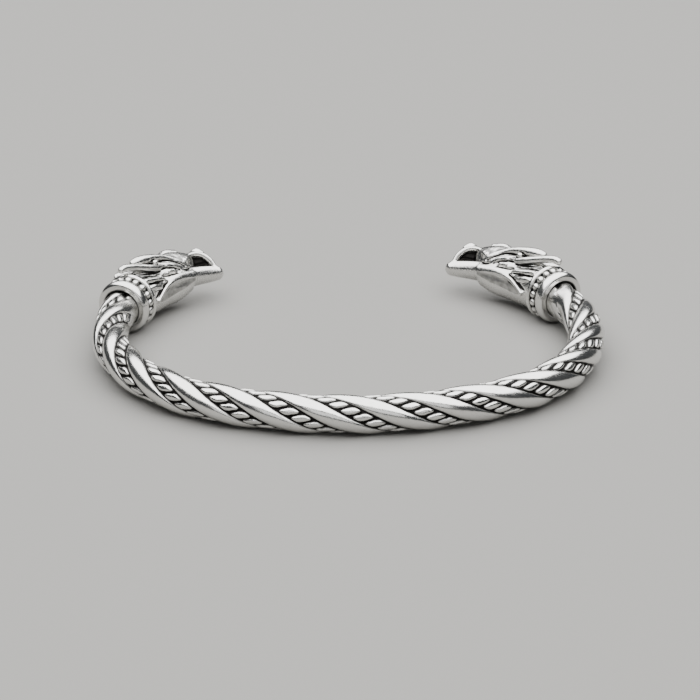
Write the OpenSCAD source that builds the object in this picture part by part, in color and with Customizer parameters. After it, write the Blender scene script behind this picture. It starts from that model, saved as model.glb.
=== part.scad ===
// Open arm ring of cast steel: a band of three smooth strands twisted with three
// beaded ones, a beaded collar near each end, and a beast's head on each end.
// It lies flat on z = 0, closed side towards -Y, with the opening towards +Y.

/* [Ring] */
// Radius of the band's centreline across the closed front
front_radius = 44; // [38:1:50]
// Degrees that each half of the front bend turns
front_turn = 25.5; // [20:0.5:32]
// Radius of the band's centreline round the sides
side_radius = 25; // [23:1:30]
// Degrees that each side bends before its collar
side_turn = 92; // [84:1:96]

/* [Band] */
// Diameter of the band over its smooth strands
band_d = 5.2; // [4.6:0.1:5.8]
// Number of smooth strands, with a beaded one between each two
strand_count = 3; // [3]
// Length along the band of one full turn of the twist
twist_lead = 24.7; // [20:0.5:34]
// Place of a smooth strand round the band at the middle of the front, in degrees
twist_start = 63; // [0:5:120]
// Depth of the grooves between the strands
groove_depth = 0.5; // [0.3:0.05:0.7]
// How far the beaded strands lie below the smooth ones
bead_strand_drop = 0.12; // [0.05:0.05:0.3]
// Distance along the band from bead to bead
bead_pitch = 1.3; // [1.2:0.1:2]
// Depth of the cut between two beads
bead_cut = 0.28; // [0.1:0.02:0.36]
// How far a cut between two beads leans along the band, from groove to groove
bead_lean = 1.7; // [0:0.1:1.8]

/* [Collars] */
// Diameter of the plain sleeve that carries a collar's rings
sleeve_d = 6.6; // [6.4:0.1:7]
// Diameter over the wide smooth ring next to the band
ridge_d = 7.7; // [7.4:0.1:8.4]
// Width of the wide smooth ring
ridge_w = 1.7; // [1.4:0.1:2]
// Diameter of one collar bead
collar_bead_d = 1.15; // [1:0.05:1.25]
// Diameter over the row of collar beads
bead_row_d = 7.8; // [7.6:0.1:8.4]
// Number of beads round a collar
collar_bead_count = 18; // [14:1:20]
// Diameter over the thin ring next to the head
thin_ring_d = 7.9; // [7.6:0.1:8.4]
// Thickness of the thin ring's wire
thin_ring_wire = 0.7; // [0.5:0.05:0.8]

/* [Heads] */
// Length of a head from its collar to the tip of the lower jaw, along its bend
head_length = 17.9; // [16:0.1:19]
// Height of a head from throat to crest
head_height = 7.6; // [6.6:0.1:7.8]
// Width of a head across the cheeks
head_width = 6.2; // [5.4:0.1:6.4]
// Turn of the head's crest up from straight outwards, in degrees
head_roll = 45; // [35:5:60]
// Diameter of an eye
eye_d = 1.3; // [1:0.1:1.5]

/* [Fit] */
// Diameter of the round tenon on each end of the band
tenon_d = 3.6; // [3:0.1:4]
// Length of the tenon beyond its collar, inside the head
tenon_reach = 3; // [2:0.5:3.5]
// Depth of the collar's mouth that takes in the end of the band
mouth_depth = 2.7; // [1:0.1:3]
// Gap between pieces that fit in or against each other
clearance = 0.06; // [0.04:0.01:0.1]

/* [Hidden] */
steel = [0.80, 0.80, 0.79];
dark_steel = [0.70, 0.70, 0.69];
FINE = 48;
BODY_FACETS = 10;
LOCK_FACETS = 6;

full_circle = 360;
band_r = band_d / 2;
tenon_r = tenon_d / 2;

// Lengths along the centreline, from the middle of the front to the band's end
front_length = front_radius * front_turn * PI / 180;
side_length = side_radius * side_turn * PI / 180;
band_half = front_length + side_length;

// Where the front bend hands over to a side bend, and the centre of the right side bend
side_start = [front_radius * sin(front_turn), front_radius * (1 - cos(front_turn))];
side_centre = side_start + side_radius * [-sin(front_turn), cos(front_turn)];
end_heading = front_turn + side_turn;
// The widest line of the ring is y = 0
widest_y = side_centre.y;

// Direction of the centreline at a distance along the right half, in degrees from +X
function right_heading(s) =
    s <= front_length ? s / front_radius * 180 / PI
    : min(front_turn + (s - front_length) / side_radius * 180 / PI, end_heading);

// Point of the right half's centreline, straight on beyond the band's end
function right_point(s) =
    let (h = right_heading(s), past = max(s - band_half, 0))
    (s <= front_length
        ? front_radius * [sin(h), 1 - cos(h)]
        : side_centre + side_radius * [sin(h), -cos(h)] + past * [cos(h), sin(h)])
    - [0, widest_y];

// The left half mirrors the right one, and both run from left to right
function heading_at(s) = s < 0 ? -right_heading(-s) : right_heading(s);
function point_at(s) =
    s < 0 ? [-right_point(-s).x, right_point(-s).y] : right_point(s);

// A point at a radius and an angle round the centreline; angle 0 points out of the ring, 90 up
function around_band(s, radius, angle) =
    let (h = heading_at(s), p = point_at(s), out = radius * cos(angle))
    [p.x + out * sin(h), p.y - out * cos(h), radius * sin(angle)];

// One strand's outline from crest to crest, and what the cuts between beads do to it.
// Columns: angle as a share of the pitch, depth as a share of the groove's,
// share of the beaded strand's drop, share of the cut, share of the lean
ANGLE = 0; DEPTH = 1; DROP = 2; CUT = 3; LEAN = 4;
strand_outline = [
    [0.000, 0.00, 0, 0.0, 0.00],
    [0.185, 0.26, 0, 0.0, 0.00],
    [0.300, 1.00, 0, 0.0, -0.50],
    [0.390, 0.28, 1, 0.8, -0.28],
    [0.500, 0.00, 1, 1.0, 0.00],
    [0.610, 0.28, 1, 0.8, 0.28],
    [0.700, 1.00, 0, 0.0, 0.50],
    [0.815, 0.26, 0, 0.0, 0.00],
];
strand_pitch = full_circle / strand_count;

// Two cross-sections for each bead: one over its crest and one in the cut after it
bead_count = round(2 * band_half / bead_pitch);
section_count = 2 * bead_count;
section_step = 2 * band_half / section_count;
// The lean fades out over this length before each end
lean_fade = 1.5 * bead_lean + bead_pitch;

// Corner of a cross-section: i counts the sections, k the strands, row is one of strand_outline
function band_corner(i, k, row) =
    let (
        level = -band_half + i * section_step,
        fade = min(1, (band_half - abs(level)) / lean_fade),
        s = level + row[LEAN] * bead_lean * fade,
        angle = twist_start + (k + row[ANGLE]) * strand_pitch - s * full_circle / twist_lead,
        in_cut = i % 2,
        radius = band_r - row[DEPTH] * groove_depth - row[DROP] * bead_strand_drop
            - row[CUT] * in_cut * bead_cut
    )
    around_band(s, radius, angle);

function band_section(i) =
    [for (k = [0 : strand_count - 1]) for (row = strand_outline) band_corner(i, k, row)];

// Ring of the tenon with the same corner angles as the band's last section on that side
function tenon_section(side, past) =
    [for (k = [0 : strand_count - 1]) for (row = strand_outline)
        around_band(side * (band_half + past), tenon_r,
            twist_start + (k + row[ANGLE]) * strand_pitch - side * band_half * full_circle / twist_lead)];

// Closed skin over a list of sections that all have the same number of corners
module skin(sections) {
    n = len(sections[0]);
    last = len(sections) - 1;
    corners = [for (section = sections) each section];
    walls = [for (i = [0 : last - 1]) for (j = [0 : n - 1])
        let (a = i * n + j, b = i * n + (j + 1) % n)
        each [[a, b, b + n], [a, b + n, a + n]]];
    start_cap = [for (j = [1 : n - 2]) [0, j + 1, j]];
    end_cap = [for (j = [1 : n - 2]) [last * n, last * n + j, last * n + j + 1]];
    polyhedron(points = corners, faces = concat(walls, start_cap, end_cap), convexity = 6);
}

// Length of a collar and the places of its rings along it, from the band side
ridge_at = ridge_w / 2;
bead_row_at = ridge_w + collar_bead_d / 2;
thin_ring_at = bead_row_at + collar_bead_d / 2 + thin_ring_wire / 2;
collar_length = thin_ring_at + thin_ring_wire / 2;
tenon_length = collar_length - mouth_depth + tenon_reach;
// The mouth is straight and the band still bends inside it, so it is wider by that bend
mouth_d = band_d + 2 * clearance + mouth_depth * mouth_depth / side_radius;

// The ring rests on the band's front and on the thin rings of its two collars, so it
// leans by rest_tilt; front_to_back is its whole depth along the surface
end_point = right_point(band_half);
end_direction = [cos(end_heading), sin(end_heading)];
thin_ring_y = end_point.y + (thin_ring_at - mouth_depth) * end_direction.y;
rest_tilt = asin((thin_ring_d / 2 - band_r) / (thin_ring_y + widest_y));
rest_height = band_r + widest_y * sin(rest_tilt);

// Seats the level ring, whose centreline lies at z = 0, on the surface
module at_rest() {
    translate([0, -middle_y, rest_height])
        rotate([rest_tilt, 0, 0])
            children();
}

module twisted_band() {
    color(steel)
        at_rest() skin(concat(
            [tenon_section(-1, tenon_length), tenon_section(-1, 0)],
            [for (i = [0 : section_count]) band_section(i)],
            [tenon_section(1, 0), tenon_section(1, tenon_length)]));
}

// Puts its children on an end of the band: +X runs on towards the head, +Y into the ring
module on_end(side) {
    end = right_point(band_half);
    mirror([side < 0 ? 1 : 0, 0, 0])
        translate([end.x, end.y, 0])
            rotate([0, 0, end_heading])
                children();
}

module ring_of_wire(diameter, wire) {
    rotate_extrude($fn = FINE)
        translate([(diameter - wire) / 2, 0])
            circle(d = wire, $fn = FINE);
}

// A collar along +Z, with its mouth for the band's end at z = 0
module collar() {
    difference() {
        union() {
            translate([0, 0, ridge_w / 4])
                cylinder(d = sleeve_d, h = collar_length - ridge_w / 4, $fn = FINE);
            translate([0, 0, ridge_at])
                ring_of_wire(ridge_d, ridge_w);
            translate([0, 0, thin_ring_at])
                ring_of_wire(thin_ring_d, thin_ring_wire);
            for (i = [0 : collar_bead_count - 1])
                rotate([0, 0, i * full_circle / collar_bead_count])
                    translate([(bead_row_d - collar_bead_d) / 2, 0, bead_row_at])
                        sphere(d = collar_bead_d, $fn = FINE);
        }
        translate([0, 0, -ridge_w])
            cylinder(d = mouth_d, h = ridge_w + mouth_depth, $fn = FINE);
        cylinder(d = tenon_d + 2 * clearance, h = 2 * collar_length, $fn = FINE);
    }
}

module seated_collar(side) {
    color(steel)
        at_rest() on_end(side)
            translate([clearance - mouth_depth, 0, 0])
                rotate([0, 90, 0])
                    collar();
}

module left_collar() { seated_collar(-1); }
module right_collar() { seated_collar(1); }

// Columns of the head's tables: place as shares of the head's length, width and height,
// then half sizes as shares of the same three
ALONG = 0; SIDE = 1; RISE = 2; LONG = 3; WIDE = 4; TALL = 5;

// Rounded mass of neck, skull and forehead crest, from the collar forwards
skull = [
    [0.055, 0, 0.00, 0.055, 0.43, 0.43],
    [0.220, 0, 0.02, 0.120, 0.46, 0.45],
    [0.400, 0, 0.07, 0.110, 0.44, 0.45],
    [0.570, 0, 0.15, 0.090, 0.36, 0.40],
    [0.665, 0, 0.19, 0.050, 0.26, 0.30],
];
throat = [
    [0.110, 0, -0.13, 0.055, 0.36, 0.33],
    [0.310, 0, -0.16, 0.080, 0.34, 0.30],
    [0.525, 0, -0.17, 0.060, 0.30, 0.27],
];
lower_jaw = [
    [0.560, 0, -0.06, 0.050, 0.32, 0.20],
    [0.730, 0, -0.09, 0.050, 0.28, 0.17],
    [0.865, 0, -0.14, 0.050, 0.26, 0.145],
    [0.955, 0, -0.16, 0.045, 0.24, 0.125],
];
// Muzzle that arches over the open mouth and closes on the jaw with its front teeth
upper_jaw = [
    [0.690, 0, 0.17, 0.045, 0.26, 0.13],
    [0.755, 0, 0.26, 0.042, 0.23, 0.10],
    [0.840, 0, 0.29, 0.038, 0.21, 0.09],
    [0.905, 0, 0.25, 0.040, 0.21, 0.09],
    [0.940, 0, 0.125, 0.038, 0.21, 0.10],
    [0.948, 0, -0.07, 0.034, 0.20, 0.08],
];
nostrils = [
    [0.865, 0, 0.35, 0.030, 0.12, 0.06],
    [0.910, 0, 0.31, 0.030, 0.12, 0.06],
];
// Wall in the middle of the mouth, which makes it a hollow on each side
mouth_wall = [
    [0.720, 0, 0.07, 0.050, 0.07, 0.14],
    [0.890, 0, 0.06, 0.050, 0.07, 0.18],
];
// The next ones lie on both sides
upper_ear = [
    [0.125, 0.31, 0.57, 0.035, 0.10, 0.080],
    [0.270, 0.325, 0.535, 0.040, 0.11, 0.085],
    [0.420, 0.33, 0.44, 0.038, 0.10, 0.078],
    [0.560, 0.30, 0.31, 0.030, 0.09, 0.070],
    [0.655, 0.25, 0.17, 0.028, 0.08, 0.060],
];
lower_ear = [
    [0.100, 0.41, 0.48, 0.035, 0.09, 0.075],
    [0.150, 0.42, 0.43, 0.035, 0.10, 0.080],
    [0.235, 0.43, 0.31, 0.032, 0.09, 0.070],
    [0.310, 0.42, 0.21, 0.028, 0.07, 0.060],
];
// Only the ear that lies inside the ring sweeps back over the collar
swept_tip = [
    [-0.045, 0.38, 0.56, 0.030, 0.09, 0.070],
    [0.020, 0.39, 0.56, 0.035, 0.10, 0.080],
    [0.110, 0.415, 0.47, 0.035, 0.10, 0.078],
];
brow_fold = [
    [0.400, 0.42, 0.29, 0.025, 0.06, 0.045],
    [0.605, 0.33, 0.15, 0.025, 0.06, 0.045],
];
cheek = [
    [0.275, 0.44, 0.07, 0.035, 0.08, 0.090],
    [0.390, 0.43, -0.03, 0.042, 0.09, 0.110],
    [0.530, 0.36, -0.04, 0.042, 0.09, 0.110],
    [0.630, 0.28, -0.05, 0.038, 0.07, 0.110],
];
cheek_edge = [
    [0.340, 0.42, -0.15, 0.032, 0.08, 0.080],
    [0.210, 0.38, -0.24, 0.032, 0.08, 0.070],
    [0.090, 0.33, -0.32, 0.025, 0.08, 0.060],
];
upper_tuft = [
    [0.070, 0.45, 0.07, 0.020, 0.05, 0.045],
    [0.160, 0.46, 0.00, 0.028, 0.06, 0.055],
];
lower_tuft = [
    [0.050, 0.44, -0.09, 0.020, 0.05, 0.050],
    [0.130, 0.43, -0.15, 0.028, 0.07, 0.065],
];
// Beads: the eye, one between the ears and one in front of the eye
EYE = [0.445, 0.43, 0.115];
EAR_BEAD = [0.345, 0.41, 0.36];
CURL = [0.555, 0.37, 0.13];

head_start = collar_length - mouth_depth + 2 * clearance;

// The hole for the tenon has few facets, so it is wide enough to clear the tenon at their middles
MORTISE_FACETS = 2 * LOCK_FACETS;
mortise_d = (tenon_d + 2 * clearance) / cos(180 / MORTISE_FACETS);

// The part's middle from front to back lies between the band's front and the nostrils,
// which reach furthest back
tip = nostrils[0];
tip_turn = end_heading + tip[ALONG] * head_length / side_radius * 180 / PI;
tip_out = tip[RISE] * head_height * cos(head_roll);
tip_reach = norm([
    tip[LONG] * head_length * sin(tip_turn),
    tip[WIDE] * head_width * sin(head_roll) * cos(tip_turn),
    tip[TALL] * head_height * cos(head_roll) * cos(tip_turn)]);
back_y = end_point.y + head_start * end_direction.y
    + side_radius * (cos(end_heading) - cos(tip_turn)) - tip_out * cos(tip_turn) + tip_reach;
middle_y = (back_y - widest_y - band_r) / 2;

// Places its children in a head's own axes: X forwards along its bend, Y to one side, Z to the crest
module at_head(along, side, rise) {
    turn = along / side_radius * 180 / PI;
    translate([side_radius * sin(turn), side_radius * (1 - cos(turn)), 0])
        rotate([0, 0, turn])
            rotate([90 - head_roll, 0, 0])
                translate([0, side, rise])
                    children();
}

module lump(row, hand, facets) {
    at_head(row[ALONG] * head_length, hand * row[SIDE] * head_width, row[RISE] * head_height)
        scale([row[LONG] * head_length, row[WIDE] * head_width, row[TALL] * head_height])
            sphere(r = 1, $fn = facets);
}

// Skins a row of lumps, each joined to the next
module form(rows, hand = 1, facets = BODY_FACETS) {
    for (i = [0 : len(rows) - 2])
        hull() {
            lump(rows[i], hand, facets);
            lump(rows[i + 1], hand, facets);
        }
}

module bead(place, diameter, hand) {
    at_head(place[ALONG] * head_length, hand * place[SIDE] * head_width, place[RISE] * head_height)
        hull() sphere(d = diameter, $fn = LOCK_FACETS);
}

module head() {
    difference() {
        union() {
            form(skull);
            form(throat);
            form(lower_jaw);
            form(upper_jaw);
            form(nostrils, 1, LOCK_FACETS);
            form(mouth_wall, 1, LOCK_FACETS);
            form(swept_tip, 1, LOCK_FACETS);
            for (hand = [-1, 1]) {
                form(upper_ear, hand, LOCK_FACETS);
                form(lower_ear, hand, LOCK_FACETS);
                form(brow_fold, hand, LOCK_FACETS);
                form(cheek, hand, LOCK_FACETS);
                form(cheek_edge, hand, LOCK_FACETS);
                form(upper_tuft, hand, LOCK_FACETS);
                form(lower_tuft, hand, LOCK_FACETS);
                bead(EYE, eye_d, hand);
                bead(EAR_BEAD, eye_d * 0.8, hand);
                bead(CURL, eye_d * 0.7, hand);
            }
        }
        rotate([0, 90, 0])
            translate([0, 0, -head_length])
                cylinder(d = mortise_d, h = head_length + tenon_reach + 2 * clearance,
                    $fn = MORTISE_FACETS);
    }
}

module seated_head(side) {
    color(dark_steel)
        at_rest() on_end(side)
            translate([head_start, 0, 0])
                head();
}

module left_head() { seated_head(-1); }
module right_head() { seated_head(1); }

twisted_band();
left_collar();
right_collar();
left_head();
right_head();
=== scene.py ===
# %% [markdown]
# # A cast steel arm ring, made in Blender
#
# The ring is an open cuff. Its band looks like three smooth strands twisted with three
# beaded ones, a beaded collar sits near each end, and a beast's head closes each arm.
# It lies flat, closed side to the front. The CAD model holds the sizes, and this lesson
# dresses it: the twist and the collars follow rules, so Geometry Nodes make them, and the
# heads are modelled like wax, by adding forms and cutting grooves.

# %% Load the fixed frame
import math
import bmesh
import bpy
import numpy as np
from mathutils import Matrix, Vector


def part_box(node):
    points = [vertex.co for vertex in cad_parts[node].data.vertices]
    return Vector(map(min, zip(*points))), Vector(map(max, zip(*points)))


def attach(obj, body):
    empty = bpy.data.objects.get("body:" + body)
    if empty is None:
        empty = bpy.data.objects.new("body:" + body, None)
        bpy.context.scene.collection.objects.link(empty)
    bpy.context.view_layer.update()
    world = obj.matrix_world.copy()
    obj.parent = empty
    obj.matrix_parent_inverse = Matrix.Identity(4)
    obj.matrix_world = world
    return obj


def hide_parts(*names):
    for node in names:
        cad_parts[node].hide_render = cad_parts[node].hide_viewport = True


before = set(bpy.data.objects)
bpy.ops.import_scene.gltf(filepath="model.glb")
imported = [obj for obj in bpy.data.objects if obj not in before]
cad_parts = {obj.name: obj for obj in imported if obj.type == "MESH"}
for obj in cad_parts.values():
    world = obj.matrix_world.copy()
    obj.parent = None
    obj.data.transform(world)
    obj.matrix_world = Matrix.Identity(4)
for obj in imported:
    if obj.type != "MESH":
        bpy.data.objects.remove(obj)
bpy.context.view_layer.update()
print("CAD nodes:", sorted(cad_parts))

# %% [markdown]
# ## Sizes
#
# All sizes are in millimetres, as a jeweller would write them, and become metres where a
# mesh is made. The centreline is two kinds of arc: a wide one across the closed front,
# and a tighter one round each side up to the collar.

# %% The ring's sizes
MM = 0.001
FRONT_RADIUS, FRONT_TURN = 44.0, 25.5
SIDE_RADIUS, SIDE_TURN = 25.0, 92.0
BAND_D = 5.2
TWIST_LEAD, TWIST_START, STRANDS = 24.7, 63.0, 3
# The strands' relief. A smooth strand is twice its share of a smooth and a beaded one wide,
# and the beads lie lower than it by the drop.
GROOVE_DEPTH, SMOOTH_SHARE, BEAD_DROP = 0.55, 0.29, 0.17
BEAD_PITCH, BEAD_LEAN = 1.53, 2.3
# How many times as wide and as long as a bead its place is, then the power that squares its
# outline and the one that flattens its dome
BEAD_GAP_ACROSS, BEAD_GAP_ALONG = 1.20, 1.27
BEAD_SQUARENESS, BEAD_FLATNESS = 3.4, 0.32
# On the wrist's side this share of the relief is gone at the first distance from a collar,
# and none of it at the second
PLAIN_FROM, PLAIN_TO, PLAIN_SHARE = 3.2, 6.4, 0.92
# The scratches' flat map of the band is about as wide as the way round it
MAP_WIDTH = 16.0
SLEEVE_D, SLEEVE_PLAY, SLEEVE_EDGE = 6.6, 0.08, 0.1
RIDGE_D, RIDGE_W, RIDGE_T = 7.7, 1.7, 1.12
COLLAR_BEAD_D, BEAD_ROW_D, COLLAR_BEADS = 1.15, 7.8, 18
THIN_RING_D, THIN_RING_WIRE = 7.9, 0.7
# How far the band's end goes into a collar, and the gap between two pieces
MOUTH_DEPTH, CLEARANCE = 2.7, 0.06
HEAD_ROLL = 45.0

FRONT_LENGTH = FRONT_RADIUS * math.radians(FRONT_TURN)
BAND_HALF = FRONT_LENGTH + SIDE_RADIUS * math.radians(SIDE_TURN)
END_HEADING = math.radians(FRONT_TURN + SIDE_TURN)
BEAD_ROW_AT = RIDGE_W + COLLAR_BEAD_D / 2
THIN_RING_AT = BEAD_ROW_AT + (COLLAR_BEAD_D + THIN_RING_WIRE) / 2
COLLAR_LENGTH = THIN_RING_AT + THIN_RING_WIRE / 2
print(f"band {2 * BAND_HALF:.1f} mm long, collar {COLLAR_LENGTH:.2f} mm")

# %% The centreline
turn = math.radians(FRONT_TURN)
side_centre = np.array([(FRONT_RADIUS - SIDE_RADIUS) * math.sin(turn),
                        FRONT_RADIUS - (FRONT_RADIUS - SIDE_RADIUS) * math.cos(turn)])
WIDEST_Y = side_centre[1]


def centreline(distance):
    """Point of the level centreline at a distance from the front's middle, in mm."""
    s = abs(distance)
    if s <= FRONT_LENGTH:
        heading = s / FRONT_RADIUS
        point = FRONT_RADIUS * np.array([math.sin(heading), 1 - math.cos(heading)])
    else:
        heading = turn + (s - FRONT_LENGTH) / SIDE_RADIUS
        point = side_centre + SIDE_RADIUS * np.array([math.sin(heading), -math.cos(heading)])
    return np.array([math.copysign(point[0], distance), point[1] - WIDEST_Y, 0.0])


END = centreline(BAND_HALF)
print("right end of the band at", END.round(2))

# %% [markdown]
# ## Lying on the surface
#
# The collars are thicker than the band, so the ring rests on the band's front and on the
# thin rings of its collars. Everything is made level and then seated by one transform.
# Its forward shift is read from the frame, because the CAD centres the part on its box.

# %% Seat the ring
thin_ring_y = END[1] + (THIN_RING_AT - MOUTH_DEPTH) * math.sin(END_HEADING)
rest_tilt = math.asin((THIN_RING_D - BAND_D) / 2 / (thin_ring_y + WIDEST_Y))
rest_height = BAND_D / 2 + WIDEST_Y * math.sin(rest_tilt)
# The back shift follows from where the wide ring of the CAD's collar reaches to the front
low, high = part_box("right_collar")
along_y = math.sin(END_HEADING) * math.cos(rest_tilt)
ring_reach = (RIDGE_D - RIDGE_W) / 2 * math.sqrt(1 - along_y ** 2) + RIDGE_W / 2
ring_y = END[1] + (RIDGE_W / 2 - MOUTH_DEPTH + CLEARANCE) * math.sin(END_HEADING)
shift_y = low.y / MM + ring_reach - ring_y * math.cos(rest_tilt)
REST = (Matrix.Translation((0, shift_y * MM, rest_height * MM))
        @ Matrix.Rotation(rest_tilt, 4, "X"))
print(f"leans {math.degrees(rest_tilt):.2f} degrees, moved back {shift_y:.2f} mm")


def on_end(side):
    """Frame of an end of the band: +X on towards the head, +Y into the ring, +Z up."""
    place = (Matrix.Translation(Vector(END * MM)) @ Matrix.Rotation(END_HEADING, 4, "Z"))
    if side < 0:
        place = Matrix.Scale(-1, 4, (1, 0, 0)) @ place
    return REST @ place


# %% [markdown]
# ## Camera
#
# A long lens from about a third of a metre flattens the ring as a product photograph does.
# The camera was worked out against the level ring, so it is seated by the same transform.
# A small shift places the ring a little above the picture's middle.

# %% Set up the camera
CAMERA_DISTANCE, CAMERA_ELEVATION, CAMERA_TURN, CAMERA_ROLL = 343.2, 24.0, 5.6, 0.99
LENS, FILM_WIDTH, SHIFT_RIGHT, SHIFT_DOWN = 126.5, 36.0, 0.0015, 0.0288
elevation, aside = math.radians(CAMERA_ELEVATION), math.radians(CAMERA_TURN)
camera = bpy.data.objects.new("camera", bpy.data.cameras.new("camera"))
bpy.context.scene.collection.objects.link(camera)
camera.data.lens, camera.data.sensor_width = LENS, FILM_WIDTH
camera.data.shift_x, camera.data.shift_y = SHIFT_RIGHT, -SHIFT_DOWN
camera.data.clip_start, camera.data.clip_end = 0.01, 50
camera.matrix_world = (
    REST @ Matrix.Rotation(-aside, 4, "Z")
    @ Matrix.Rotation(math.pi / 2 - elevation, 4, "X")
    @ Matrix.Translation((0, 0, CAMERA_DISTANCE * MM))
    @ Matrix.Rotation(math.radians(CAMERA_ROLL), 4, "Z"))
bpy.context.scene.camera = camera
print("camera at", [round(c, 3) for c in camera.matrix_world.translation])

# %% [markdown]
# ## Helpers
#
# One adds a node with its settings and links, in a Geometry Nodes tree or a material. A
# rule is a table of nodes, a row each, which reads like the sums that it stands for. A
# colour is written as it looks on a screen, and turned into the linear values that Blender
# works in. A tree gets a named input for each size, and is run to make a plain mesh.

# %% Helpers for nodes and colours
def add(tree, kind, inputs=None, **settings):
    """Adds a node. Its inputs are keyed by socket name or number, and each is a value, a
    socket to link, or a node whose first output is linked."""
    node = tree.nodes.new(kind)
    for name, value in settings.items():
        setattr(node, name, value)
    for key, value in (inputs or {}).items():
        if isinstance(value, bpy.types.Node):
            value = value.outputs[0]
        if isinstance(value, bpy.types.NodeSocket):
            tree.links.new(value, node.inputs[key])
        else:
            node.inputs[key].default_value = value
    return node


def follow(tree, known, rule):
    """Adds a node for each row of a rule: its result's name, kind and setting, then its
    inputs in order. An input is a known value's name, a number, or None to leave it."""
    for result, kind, setting, *inputs in rule:
        linked = {i: known[value] if isinstance(value, str) else value
                  for i, value in enumerate(inputs) if value is not None}
        label = "interpolation_type" if kind == "MapRange" else "operation"
        node = add(tree, "ShaderNode" + kind, linked, **({label: setting} if setting else {}))
        known[result] = node.outputs[0]


def linear(hex_colour):
    """Linear RGBA of an sRGB hex colour."""
    parts = [int(hex_colour[i:i + 2], 16) / 255 for i in (0, 2, 4)]
    return [c / 12.92 if c <= 0.04045 else ((c + 0.055) / 1.055) ** 2.4 for c in parts] + [1]


# %% Helpers for Geometry Nodes trees
def new_tree(name, sizes):
    """Geometry Nodes tree with an input for each size, its inputs by name, and its end."""
    tree = bpy.data.node_groups.new(name, "GeometryNodeTree")
    tree.interface.new_socket("Geometry", in_out="INPUT", socket_type="NodeSocketGeometry")
    kinds = {int: "NodeSocketInt", float: "NodeSocketFloat",
             bpy.types.Material: "NodeSocketMaterial"}
    for label, value in sizes.items():
        tree.interface.new_socket(label, in_out="INPUT", socket_type=kinds[type(value)])
    tree.interface.new_socket("Geometry", in_out="OUTPUT", socket_type="NodeSocketGeometry")
    known = {socket.name: socket for socket in tree.nodes.new("NodeGroupInput").outputs}
    return tree, known, tree.nodes.new("NodeGroupOutput")


def end_tree(tree, solid, recess, rub, known, result):
    """Makes instances real, stores what the finish reads, and sets the finish."""
    solid = add(tree, "GeometryNodeRealizeInstances", {0: solid})
    for label, kind, value in (("recess", "FLOAT", recess), ("rub", "FLOAT_VECTOR", rub)):
        solid = add(tree, "GeometryNodeStoreNamedAttribute",
                    {"Geometry": solid, "Name": label, "Value": value},
                    data_type=kind, domain="POINT")
    finished = add(tree, "GeometryNodeSetMaterial", {"Geometry": solid,
                                                     "Material": known["Finish"]})
    tree.links.new(finished.outputs[0], result.inputs[0])
    print(tree.name, "tree:", len(tree.nodes), "nodes")


def grow(name, data, tree, sizes):
    """Runs a tree on an object and returns the result as a plain mesh object."""
    source = bpy.data.objects.new(name + ".source", data)
    bpy.context.scene.collection.objects.link(source)
    modifier = source.modifiers.new("grow", "NODES")
    modifier.node_group = tree
    sockets = {s.name: s.identifier for s in tree.interface.items_tree
               if s.item_type == "SOCKET" and s.in_out == "INPUT"}
    for label, value in sizes.items():
        modifier[sockets[label]] = value
    evaluated = source.evaluated_get(bpy.context.evaluated_depsgraph_get())
    mesh = bpy.data.meshes.new_from_object(evaluated)
    bpy.data.objects.remove(source)
    piece = bpy.data.objects.new(name, mesh)
    bpy.context.scene.collection.objects.link(piece)
    return piece


def close_and_smooth(piece):
    """Merges doubles, points the faces outwards and shades them smooth."""
    mesh = bmesh.new()
    mesh.from_mesh(piece.data)
    bmesh.ops.remove_doubles(mesh, verts=mesh.verts, dist=1e-7)
    bmesh.ops.recalc_face_normals(mesh, faces=mesh.faces)
    for face in mesh.faces:
        face.smooth = True
    mesh.to_mesh(piece.data)
    mesh.free()


# %% [markdown]
# ## The steels
#
# The real ring is stainless steel, cast, polished on a wheel and then blackened, so the
# black stays only where the wheel can't reach. Each piece carries an attribute for the black
# and painted shade, 0 on its crests and 1 in its grooves, and the material mixes bright steel
# with the black by it. The same black also paints shade: in the gap where the band enters a
# collar, and on the heads over their upper parts, in the mouth, under the ears, at the brow
# and under the cheeks. A metal shows mostly what it mirrors, so its own colour hardly varies:
# the wheel's fine scratches work through roughness and bump.

# %% Material: polished steel with blackened recesses and painted shade
BLACK, BLACK_ROUGHNESS = "1c1b1a", 0.55


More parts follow.
